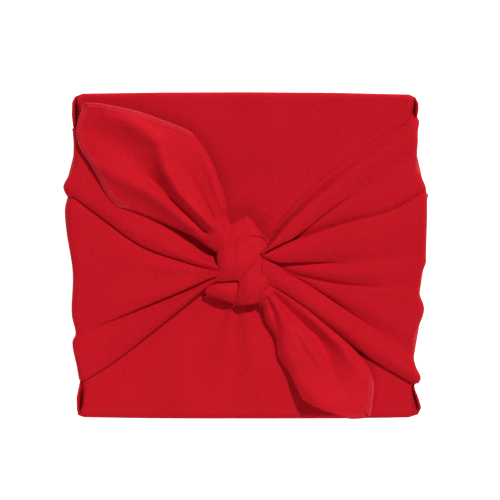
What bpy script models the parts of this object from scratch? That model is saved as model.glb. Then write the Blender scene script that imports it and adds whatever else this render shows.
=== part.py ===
# Furoshiki wrap on a flat square box: one square cloth, folded over the box and tied in the middle.
# Metres, +Z up. The parcel lies on its back, knot up, centred on the origin.
import math

import bmesh
import bpy
from mathutils import Vector

# Driving sizes
PARCEL_WIDTH = 0.237
PARCEL_LENGTH = 0.227
PARCEL_DEPTH = 0.070
CLOTH_THICKNESS = 0.002
EDGE_CLEARANCE = 0.0035  # cloth to box, at the sides and the top
FLOOR_GAP = 0.0005  # cloth to box, under the box
EDGE_ROUND = 0.004  # how far the cloth rounds the parcel's edges
KNOT_CENTRE = Vector((-0.004, -0.006))
HEART_COLUMNS = ("share", "height")  # the knot's round middle: share of the way out to the mouths
HEART = [(0.30, 0.0245), (0.62, 0.0225), (0.88, 0.0150)]
MOUTH_STEEPNESS = 2.6  # how late the folds rise into the knot
FACE = PARCEL_DEPTH  # height of the flat front panels

# Mesh fineness
STEPS_PER_FOLD = 3
EAR_STEPS = 13
BAND_SIDES = 10

# Where each fold runs over the front, anticlockwise from the right side's lower edge.
# end: where it meets the parcel's outline; mouth: where it enters the knot; bow: its sideways
# bend halfway; lift: its height over the panel; rise: its added height at the knot.
FOLD_COLUMNS = ("name", "kind", "end_x", "end_y", "mouth_x", "mouth_y", "bow", "lift", "rise")
FOLDS = [
    ("panel_below_right", "flat", 0.1180, -0.0945, 0.019, -0.0235, -0.002, 0.0000, 0.000),
    ("right_lower_roll", "ridge", 0.1220, -0.0870, 0.019, -0.0200, -0.002, 0.0034, 0.012),
    ("right_lower_crease", "valley", 0.1176, -0.0720, 0.019, -0.0160, 0.003, 0.0008, 0.011),
    ("right_lower_lobe", "ridge", 0.1190, -0.0567, 0.020, -0.0125, 0.003, 0.0030, 0.014),
    ("right_lobe", "ridge", 0.1252, -0.0380, 0.020, -0.0095, 0.001, 0.0036, 0.015),
    ("right_middle_crease", "valley", 0.1212, -0.0273, 0.020, -0.0075, -0.004, 0.0012, 0.013),
    ("right_middle_lobe", "ridge", 0.1247, -0.0100, 0.019, -0.0050, -0.003, 0.0030, 0.016),
    ("right_soft_crease", "valley", 0.1262, 0.0050, 0.019, -0.0025, -0.003, 0.0020, 0.014),
    ("right_upper_lobe", "ridge", 0.1271, 0.0224, 0.018, 0.0000, -0.001, 0.0034, 0.016),
    ("right_fold_edge", "ridge", 0.1276, 0.0400, 0.018, 0.0020, 0.001, 0.0048, 0.015),
    ("right_fold_hollow", "valley", 0.1230, 0.0450, 0.018, 0.0030, 0.001, 0.0008, 0.011),
    ("right_shadowed_flat", "flat", 0.1207, 0.0550, 0.018, 0.0038, -0.002, 0.0016, 0.012),
    ("right_long_crease", "valley", 0.1206, 0.0640, 0.017, 0.0045, -0.004, 0.0008, 0.011),
    ("right_long_ridge", "ridge", 0.1208, 0.0770, 0.017, 0.0060, -0.002, 0.0036, 0.015),
    ("right_upper_edge", "ridge", 0.1205, 0.0925, 0.017, 0.0080, 0.002, 0.0026, 0.009),
    ("panel_above_right", "flat", 0.1182, 0.0950, 0.017, 0.0110, 0.003, 0.0000, 0.000),
    ("corner_right_side", "flat", 0.1200, 0.1080, 0.015, 0.0120, 0.000, 0.0000, 0.000),
    ("corner_upper_right", "flat", 0.1165, 0.1125, 0.012, 0.0120, 0.000, 0.0000, 0.000),
    ("upper_panel_right", "flat", 0.0600, 0.1136, 0.004, 0.0120, 0.000, 0.0000, 0.000),
    ("upper_panel", "flat", 0.0000, 0.1139, -0.004, 0.0120, 0.000, 0.0000, 0.000),
    ("upper_panel_left", "flat", -0.0600, 0.1136, -0.012, 0.0120, 0.000, 0.0000, 0.000),
    ("corner_upper_left", "flat", -0.1165, 0.1125, -0.018, 0.0120, 0.000, 0.0000, 0.000),
    ("corner_left_side", "flat", -0.1205, 0.1080, -0.021, 0.0120, 0.000, 0.0000, 0.000),
    ("panel_above_left", "flat", -0.1190, 0.0920, -0.023, 0.0110, 0.000, 0.0000, 0.000),
    ("left_upper_edge", "ridge", -0.1214, 0.0890, -0.024, 0.0080, 0.000, 0.0026, 0.009),
    ("left_strip", "flat", -0.1203, 0.0763, -0.024, 0.0040, 0.000, 0.0020, 0.011),
    ("left_strip_lower", "flat", -0.1222, 0.0581, -0.024, 0.0000, 0.004, 0.0022, 0.012),
    ("left_strip_ridge", "ridge", -0.1276, 0.0483, -0.024, -0.0040, 0.008, 0.0044, 0.014),
    ("left_long_crease", "valley", -0.1232, 0.0400, -0.024, -0.0080, 0.010, 0.0006, 0.010),
    ("left_lobe_edge", "ridge", -0.1266, 0.0330, -0.024, -0.0100, 0.010, 0.0046, 0.015),
    ("left_lobe", "ridge", -0.1260, 0.0190, -0.024, -0.0115, 0.007, 0.0040, 0.016),
    ("left_lobe_middle", "flat", -0.1212, -0.0100, -0.024, -0.0130, 0.003, 0.0030, 0.016),
    ("left_lower_ridge", "ridge", -0.1217, -0.0450, -0.024, -0.0150, 0.001, 0.0036, 0.015),
    ("left_lower_crease", "valley", -0.1187, -0.0532, -0.025, -0.0170, -0.001, 0.0006, 0.010),
    ("left_lowest_lobe", "ridge", -0.1212, -0.0610, -0.026, -0.0185, 0.000, 0.0032, 0.014),
    ("left_lower_edge", "ridge", -0.1166, -0.0845, -0.027, -0.0205, 0.001, 0.0028, 0.010),
    ("panel_below_left", "flat", -0.1155, -0.0875, -0.027, -0.0240, 0.001, 0.0000, 0.000),
    ("corner_lower_left", "flat", -0.1182, -0.1060, -0.022, -0.0250, 0.000, 0.0000, 0.000),
    ("corner_lower_left_end", "flat", -0.1150, -0.1125, -0.018, -0.0250, 0.000, 0.0000, 0.000),
    ("lower_panel_left", "flat", -0.0560, -0.1136, -0.010, -0.0250, 0.000, 0.0000, 0.000),
    ("lower_panel", "flat", 0.0050, -0.1139, 0.000, -0.0250, 0.000, 0.0000, 0.000),
    ("lower_panel_right", "flat", 0.0620, -0.1136, 0.008, -0.0250, 0.000, 0.0000, 0.000),
    ("corner_lower_right_end", "flat", 0.1165, -0.1128, 0.016, -0.0250, 0.000, 0.0000, 0.000),
    ("corner_lower_right", "flat", 0.1205, -0.1075, 0.018, -0.0250, 0.000, 0.0000, 0.000),
]

# How the wall falls from the outline to the base: share of the way down, and share of the swell kept.
WALL_COLUMNS = ("drop", "swell")
WALL = [(0.06, 1.0), (0.25, 1.0), (0.50, 0.85), (0.75, 0.55), (0.93, 0.25)]
RUN_SHARES = (0.0, 0.10, 0.22, 0.36, 0.52, 0.68, 0.84, 0.965)

# The four corner slits: middle, length and turn from the Y axis
SLIT_COLUMNS = ("name", "x", "y", "length", "turn_deg")
SLITS = [
    ("slit_upper_left", -0.1172, 0.0985, 0.018, -2.0),
    ("slit_upper_right", 0.1172, 0.1000, 0.014, 5.0),
    ("slit_lower_left", -0.1158, -0.1010, 0.016, -4.0),
    ("slit_lower_right", 0.1168, -0.1010, 0.014, 9.0),
]
SLIT_WIDTH = 0.0016
SLIT_DEPTH = 0.024
SLIT_LEAN = math.radians(14.0)  # the slits slant in under the front

# The two free ends. Each has four borders, listed from the knot outwards.
LARGE_EAR = {
    "knot_end": [(-0.0200, 0.0020), (-0.0150, 0.0120), (-0.0110, 0.0230)],
    "near_edge": [(-0.0200, 0.0020), (-0.0340, 0.0119), (-0.0473, 0.0182), (-0.0655, 0.0259),
                  (-0.0816, 0.0322)],
    "far_hem": [(-0.0816, 0.0322), (-0.0955, 0.0392), (-0.1012, 0.0483), (-0.1075, 0.0616),
                (-0.1152, 0.0728), (-0.1180, 0.0805), (-0.1180, 0.0868), (-0.1130, 0.1057)],
    "outer_edge": [(-0.0110, 0.0230), (-0.0130, 0.0350), (-0.0154, 0.0483), (-0.0207, 0.0644),
                   (-0.0291, 0.0777), (-0.0340, 0.0847), (-0.0473, 0.0910), (-0.0599, 0.0952),
                   (-0.0837, 0.1015), (-0.1012, 0.1050), (-0.1130, 0.1057)],
    "height": [(0.00, 0.0190), (0.30, 0.0165), (0.65, 0.0110), (1.00, 0.0085)],
    "folds": [
        {"path": [(-0.1050, 0.0890), (-0.0840, 0.0760), (-0.0564, 0.0448), (-0.0291, 0.0175)],
         "width": 0.0055, "depth": -0.0045},
        {"path": [(-0.1070, 0.0650), (-0.0837, 0.0567), (-0.0612, 0.0469)],
         "width": 0.0050, "depth": -0.0025},
        {"path": [(-0.0318, 0.0602), (-0.0298, 0.0420), (-0.0172, 0.0175)],
         "width": 0.0050, "depth": -0.0035},
        {"path": [(-0.0780, 0.0480), (-0.0600, 0.0380), (-0.0350, 0.0200)],
         "width": 0.0070, "depth": 0.0030},
        {"path": [(-0.0612, 0.0672), (-0.0430, 0.0420)], "width": 0.0080, "depth": 0.0030},
    ],
}
SMALL_EAR = {
    "knot_end": [(0.0080, -0.0330), (0.0140, -0.0260), (0.0200, -0.0190)],
    "near_edge": [(0.0080, -0.0330), (0.0137, -0.0448), (0.0221, -0.0581), (0.0235, -0.0721),
                  (0.0319, -0.0833), (0.0382, -0.0973)],
    "far_hem": [(0.0382, -0.0973), (0.0424, -0.1022), (0.0585, -0.1092), (0.0718, -0.1125),
                (0.0864, -0.1130)],
    "outer_edge": [(0.0200, -0.0190), (0.0420, -0.0371), (0.0585, -0.0511), (0.0711, -0.0616),
                   (0.0767, -0.0672), (0.0864, -0.0791), (0.0892, -0.0896), (0.0864, -0.1130)],
    "height": [(0.00, 0.0170), (0.35, 0.0130), (0.70, 0.0090), (1.00, 0.0060)],
    "folds": [
        {"path": [(0.0220, -0.0330), (0.0346, -0.0448), (0.0494, -0.0567), (0.0718, -0.0826)],
         "width": 0.0045, "depth": -0.0040},
        {"path": [(0.0360, -0.0539), (0.0494, -0.0728), (0.0640, -0.0924)],
         "width": 0.0045, "depth": -0.0030},
        {"path": [(0.0585, -0.0620), (0.0766, -0.0854)], "width": 0.0050, "depth": 0.0025},
    ],
}

# The broad turns of cloth that cross the knot
TURN_COLUMNS = ("x", "y", "height", "width", "thickness")
TURNS = {
    "knot_main_turn": [
        (0.0170, 0.0085, 0.010, 0.013, 0.008), (0.0120, 0.0060, 0.017, 0.020, 0.010),
        (0.0020, -0.0010, 0.023, 0.027, 0.011), (-0.0090, -0.0080, 0.022, 0.027, 0.011),
        (-0.0190, -0.0145, 0.015, 0.020, 0.010), (-0.0230, -0.0180, 0.008, 0.014, 0.008)],
    "knot_back_turn": [
        (-0.0140, 0.0120, 0.010, 0.012, 0.008), (-0.0060, 0.0190, 0.015, 0.018, 0.009),
        (0.0040, 0.0195, 0.015, 0.018, 0.009), (0.0140, 0.0120, 0.010, 0.012, 0.008)],
    "knot_right_turn": [
        (0.0150, 0.0000, 0.010, 0.010, 0.007), (0.0135, -0.0120, 0.015, 0.015, 0.009),
        (0.0070, -0.0230, 0.015, 0.018, 0.009), (-0.0050, -0.0290, 0.010, 0.014, 0.008)],
    "knot_lower_turn": [
        (-0.0260, -0.0210, 0.008, 0.012, 0.007), (-0.0180, -0.0260, 0.013, 0.015, 0.008),
        (-0.0050, -0.0280, 0.014, 0.016, 0.008), (0.0060, -0.0240, 0.010, 0.012, 0.008)],
}

BOX_SIZE = Vector((
    PARCEL_WIDTH - 2 * (CLOTH_THICKNESS + EDGE_CLEARANCE),
    PARCEL_LENGTH - 2 * (CLOTH_THICKNESS + EDGE_CLEARANCE),
    PARCEL_DEPTH - 2 * CLOTH_THICKNESS - EDGE_CLEARANCE - FLOOR_GAP,
))
BOX_ROUND = 0.0015


def make_material(name, color, roughness, metallic=0.0):
    material = bpy.data.materials.new(name)
    material.use_nodes = True
    shader = material.node_tree.nodes["Principled BSDF"]
    shader.inputs["Base Color"].default_value = (*color, 1.0)
    shader.inputs["Roughness"].default_value = roughness
    shader.inputs["Metallic"].default_value = metallic
    return material


def add_object(name, mesh, collection):
    thing = bpy.data.objects.new(name, mesh)
    collection.objects.link(thing)
    return thing


def finish_mesh(name, shape):
    bmesh.ops.recalc_face_normals(shape, faces=shape.faces)
    mesh = bpy.data.meshes.new(name)
    shape.to_mesh(mesh)
    shape.free()
    return mesh


def loft(name, rings):
    # closed skin through rings with the same number of points, capped at both ends
    shape = bmesh.new()
    rows = [[shape.verts.new(point) for point in ring] for ring in rings]
    count = len(rows[0])
    for lower, upper in zip(rows, rows[1:]):
        for i in range(count):
            j = (i + 1) % count
            shape.faces.new((lower[i], lower[j], upper[j], upper[i]))
    shape.faces.new(rows[0])
    shape.faces.new(rows[-1])
    return finish_mesh(name, shape)


def fold_rows():
    return [dict(zip(FOLD_COLUMNS, row)) for row in FOLDS]


def ease(start_kind, end_kind, share):
    # ridges are round and valleys sharp
    if start_kind == "valley" and end_kind != "valley":
        return math.sin(share * math.pi / 2)
    if end_kind == "valley" and start_kind != "valley":
        return 1 - math.cos(share * math.pi / 2)
    return share * share * (3 - 2 * share)


def spokes(steps):
    # the folds with softer steps between each pair
    rows = fold_rows()
    result = []
    for here, after in zip(rows, rows[1:] + rows[:1]):
        for step in range(steps):
            share = step / steps
            soft = ease(here["kind"], after["kind"], share)
            spoke = {}
            for column in ("end_x", "end_y", "mouth_x", "mouth_y", "bow"):
                spoke[column] = here[column] + (after[column] - here[column]) * share
            for column in ("lift", "rise"):
                spoke[column] = here[column] + (after[column] - here[column]) * soft
            result.append(spoke)
    return result


def base_point(spoke, inset):
    half_x = PARCEL_WIDTH / 2 - inset
    half_y = PARCEL_LENGTH / 2 - inset
    x = max(-half_x, min(half_x, spoke["end_x"]))
    y = max(-half_y, min(half_y, spoke["end_y"]))
    return Vector((x, y))


def wrap_rings(steps, inward, relief):
    # rings from the knot's mouth over the front, round the edge and down the walls to the base
    lines = spokes(steps)
    middle = Vector((0.0, 0.0))
    rings = []
    for share, height in HEART:
        ring = []
        for spoke in lines:
            mouth = Vector((spoke["mouth_x"], spoke["mouth_y"]))
            place = KNOT_CENTRE.lerp(mouth, share)
            ring.append(Vector((place.x, place.y, FACE - inward + height * relief)))
        rings.append(ring)
    for share in RUN_SHARES:
        ring = []
        for spoke in lines:
            mouth = Vector((spoke["mouth_x"], spoke["mouth_y"]))
            end = Vector((spoke["end_x"], spoke["end_y"]))
            end = end - (end - middle).normalized() * inward
            run = end - mouth
            side = Vector((-run.y, run.x)).normalized()
            place = mouth + run * share + side * spoke["bow"] * 4 * share * (1 - share)
            height = FACE - inward
            height += (spoke["lift"] + spoke["rise"] * (1 - share) ** MOUTH_STEEPNESS) * relief
            ring.append(Vector((place.x, place.y, height)))
        rings.append(ring)
    for drop, swell in WALL:
        ring = []
        for spoke in lines:
            end = Vector((spoke["end_x"], spoke["end_y"]))
            foot = base_point(spoke, 0.0)
            place = foot + (end - foot) * swell
            place = place - Vector((math.copysign(min(abs(place.x), inward), place.x) * (abs(place.x) > 0.1),
                                    math.copysign(min(abs(place.y), inward), place.y) * (abs(place.y) > 0.1)))
            top = FACE - inward + spoke["lift"] * relief * (1 - drop)
            ring.append(Vector((place.x, place.y, inward + (top - inward) * (1 - drop))))
        rings.append(ring)
    inset = inward + EDGE_ROUND / 2 * relief
    rings.append([Vector((*base_point(spoke, inset), inward)) for spoke in lines])
    return rings


def border(points, share):
    # the point a share of the way along a line of points
    lengths = [(Vector(b) - Vector(a)).length for a, b in zip(points, points[1:])]
    target = share * sum(lengths)
    for start, end, length in zip(points, points[1:], lengths):
        if target <= length or end is points[-1]:
            return Vector(start).lerp(Vector(end), min(1.0, target / length))
        target -= length


def path_distance(point, path):
    nearest = 1.0
    for start, end in zip(path, path[1:]):
        start = Vector(start)
        run = Vector(end) - start
        share = max(0.0, min(1.0, (point - start).dot(run) / run.length_squared))
        nearest = min(nearest, (point - start - run * share).length)
    return nearest


def table_value(table, share):
    for (start, low), (end, high) in zip(table, table[1:]):
        if share <= end:
            return low + (high - low) * (share - start) / (end - start)
    return table[-1][1]


def make_ear(name, ear, collection):
    # a sheet between four borders, with its troughs and ridges, thickened
    shape = bmesh.new()
    bmesh.ops.create_grid(shape, x_segments=EAR_STEPS, y_segments=EAR_STEPS, size=0.5)
    corners = (Vector(ear["near_edge"][0]), Vector(ear["near_edge"][-1]),
               Vector(ear["outer_edge"][0]), Vector(ear["outer_edge"][-1]))
    for vert in shape.verts:
        u = vert.co.x + 0.5
        v = vert.co.y + 0.5
        across = border(ear["knot_end"], v).lerp(border(ear["far_hem"], v), u)
        along = border(ear["near_edge"], u).lerp(border(ear["outer_edge"], u), v)
        bare = corners[0].lerp(corners[1], u).lerp(corners[2].lerp(corners[3], u), v)
        place = across + along - bare
        height = FACE + table_value(ear["height"], u)
        for fold in ear["folds"]:
            spread = path_distance(place, fold["path"]) / fold["width"]
            height += fold["depth"] * math.exp(-spread * spread)
        vert.co = Vector((place.x, place.y, height))
    ear_sheet = add_object(name, finish_mesh(name, shape), collection)
    thicken = ear_sheet.modifiers.new("thickness", "SOLIDIFY")
    thicken.thickness = CLOTH_THICKNESS
    thicken.offset = 0.0
    return ear_sheet


def make_turn(name, rows, collection):
    # a flat round-edged band through its sections
    rows = [dict(zip(TURN_COLUMNS, row)) for row in rows]
    places = [Vector((row["x"], row["y"], FACE + row["height"])) for row in rows]
    rings = []
    for i, row in enumerate(rows):
        run = places[min(i + 1, len(rows) - 1)] - places[max(i - 1, 0)]
        side = Vector((-run.y, run.x, 0.0)).normalized()
        up = run.normalized().cross(side)
        ring = []
        for step in range(BAND_SIDES):
            angle = 2 * math.pi * step / BAND_SIDES
            ring.append(places[i] + side * math.cos(angle) * row["width"] / 2
                        + up * math.sin(angle) * row["thickness"] / 2)
        rings.append(ring)
    return add_object(name, loft(name, rings), collection)


def make_slit(row, collection):
    slit = dict(zip(SLIT_COLUMNS, row))
    shape = bmesh.new()
    bmesh.ops.create_cube(shape, size=1.0)
    bmesh.ops.scale(shape, vec=Vector((SLIT_WIDTH, slit["length"], SLIT_DEPTH)), verts=shape.verts)
    cutter = add_object(slit["name"], finish_mesh(slit["name"], shape), collection)
    cutter.location = (slit["x"], slit["y"], FACE)
    lean = math.copysign(SLIT_LEAN, slit["x"])
    cutter.rotation_euler = (0.0, lean, math.radians(slit["turn_deg"]))
    return cutter


def make_box(collection, material):
    shape = bmesh.new()
    bmesh.ops.create_cube(shape, size=1.0)
    bmesh.ops.scale(shape, vec=BOX_SIZE, verts=shape.verts)
    box = add_object("box", finish_mesh("box", shape), collection)
    box.location = (0.0, 0.0, CLOTH_THICKNESS + FLOOR_GAP + BOX_SIZE.z / 2)
    edges = box.modifiers.new("edges", "BEVEL")
    edges.width = BOX_ROUND
    edges.segments = 2
    box.data.materials.append(material)
    return box


def combine(target, operand, operation):
    join = target.modifiers.new(operand.name, "BOOLEAN")
    join.operation = operation
    join.object = operand
    join.solver = "EXACT"


def main():
    for old in list(bpy.data.objects):
        bpy.data.objects.remove(old, do_unlink=True)
    parcel = bpy.data.collections.new("furoshiki_wrap")
    cutters = bpy.data.collections.new("cutters")
    bpy.context.scene.collection.children.link(parcel)
    bpy.context.scene.collection.children.link(cutters)

    red_cloth = make_material("red_cloth", (0.55, 0.012, 0.022), 0.85)
    plain_card = make_material("plain_card", (0.62, 0.52, 0.40), 0.8)

    cloth = add_object("cloth", loft("cloth", wrap_rings(STEPS_PER_FOLD, 0.0, 1.0)), parcel)
    cloth.data.materials.append(red_cloth)
    inside = add_object("inside", loft("inside", wrap_rings(1, CLOTH_THICKNESS, 0.0)), cutters)
    combine(cloth, inside, "DIFFERENCE")
    for row in SLITS:
        combine(cloth, make_slit(row, cutters), "DIFFERENCE")
    for name, rows in TURNS.items():
        combine(cloth, make_turn(name, rows, cutters), "UNION")
    combine(cloth, make_ear("large_ear", LARGE_EAR, cutters), "UNION")
    combine(cloth, make_ear("small_ear", SMALL_EAR, cutters), "UNION")
    make_box(parcel, plain_card)

    for cutter in cutters.objects:
        cutter.hide_render = True
        cutter.display_type = "WIRE"


main()
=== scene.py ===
import math

import bmesh
import bpy
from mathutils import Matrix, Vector


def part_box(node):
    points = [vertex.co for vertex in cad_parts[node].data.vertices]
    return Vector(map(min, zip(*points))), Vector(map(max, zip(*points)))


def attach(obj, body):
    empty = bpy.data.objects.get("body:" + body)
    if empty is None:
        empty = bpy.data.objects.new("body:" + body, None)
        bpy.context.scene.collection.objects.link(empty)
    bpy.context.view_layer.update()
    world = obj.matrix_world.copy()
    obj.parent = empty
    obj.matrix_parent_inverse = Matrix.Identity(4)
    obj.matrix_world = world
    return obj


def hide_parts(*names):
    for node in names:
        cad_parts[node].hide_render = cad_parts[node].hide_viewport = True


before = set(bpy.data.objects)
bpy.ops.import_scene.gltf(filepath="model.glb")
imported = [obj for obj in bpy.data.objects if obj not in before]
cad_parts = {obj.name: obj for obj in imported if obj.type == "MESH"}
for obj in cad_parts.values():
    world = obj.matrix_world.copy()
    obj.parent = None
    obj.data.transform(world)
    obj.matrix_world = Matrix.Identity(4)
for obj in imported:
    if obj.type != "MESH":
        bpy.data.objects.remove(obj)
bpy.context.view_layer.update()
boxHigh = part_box("box")[1]
print("frame loaded")

# Sizes in the tables below are in millimetres, from the middle of the parcel's front.
mm = 0.001

parcel = {
    "wrapGap": 5.5,       # from the box to the cloth's outer face
    "thickness": 0.8,     # of one layer
    "edgeRadius": 4.5,    # of the parcel's edges
    "footRadius": 3.5,    # of the edges it rests on
    "cornerPower": 9,     # how square the outline's corners are
    "footPower": 40,      # and the base's
    "knotX": -3.9,
    "knotY": -4.9,
    "knotReachX": 13.0,   # how far the panels' inner ends lie from the knot's middle
    "knotReachY": 15.0,
}
leastGap = 1e-4           # keeps the splines from dividing by nothing
face = boxHigh.z / mm + parcel["wrapGap"]
halfX = boxHigh.x / mm + parcel["wrapGap"]
halfY = boxHigh.y / mm + parcel["wrapGap"]


def curveAt(stations, values, share):
    # a smooth curve through a few values, flat at none of them
    for i in range(len(stations) - 1):
        if share <= stations[i + 1] or i == len(stations) - 2:
            break
    before, after = max(i - 1, 0), min(i + 2, len(stations) - 1)
    gap = stations[i + 1] - stations[i]
    slopeIn = (values[i + 1] - values[before]) / (stations[i + 1] - stations[before])
    slopeOut = (values[after] - values[i]) / (stations[after] - stations[i])
    t = (share - stations[i]) / gap
    t2, t3 = t * t, t * t * t
    return ((2 * t3 - 3 * t2 + 1) * values[i] + (t3 - 2 * t2 + t) * gap * slopeIn
            + (3 * t2 - 2 * t3) * values[i + 1] + (t3 - t2) * gap * slopeOut)


def splinePoint(p0, p1, p2, p3, t):
    # centripetal, so that tight turns between wide folds don't loop
    k0 = 0.0
    k1 = k0 + math.sqrt(max((p1 - p0).length, leastGap))
    k2 = k1 + math.sqrt(max((p2 - p1).length, leastGap))
    k3 = k2 + math.sqrt(max((p3 - p2).length, leastGap))
    k = k1 + (k2 - k1) * t
    a1 = p0.lerp(p1, (k - k0) / (k1 - k0))
    a2 = p1.lerp(p2, (k - k1) / (k2 - k1))
    a3 = p2.lerp(p3, (k - k2) / (k3 - k2))
    b1 = a1.lerp(a2, (k - k0) / (k2 - k0))
    b2 = a2.lerp(a3, (k - k1) / (k3 - k1))
    return b1.lerp(b2, (k - k1) / (k2 - k1))


# The wrap is front, walls and back in one sheet, gathered into the knot from both sides.
runStations = (0.0, 0.1, 0.2, 0.5, 0.8, 1.0)   # shares of a fold's run, from the knot to the outline
liftStations = (0.0, 0.12, 0.35, 0.6, 1.0)     # and those at which its heights are given
flatRun = (0.0,) * len(liftStations)
straightBow = (0.0,) * (len(runStations) - 2)

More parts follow.
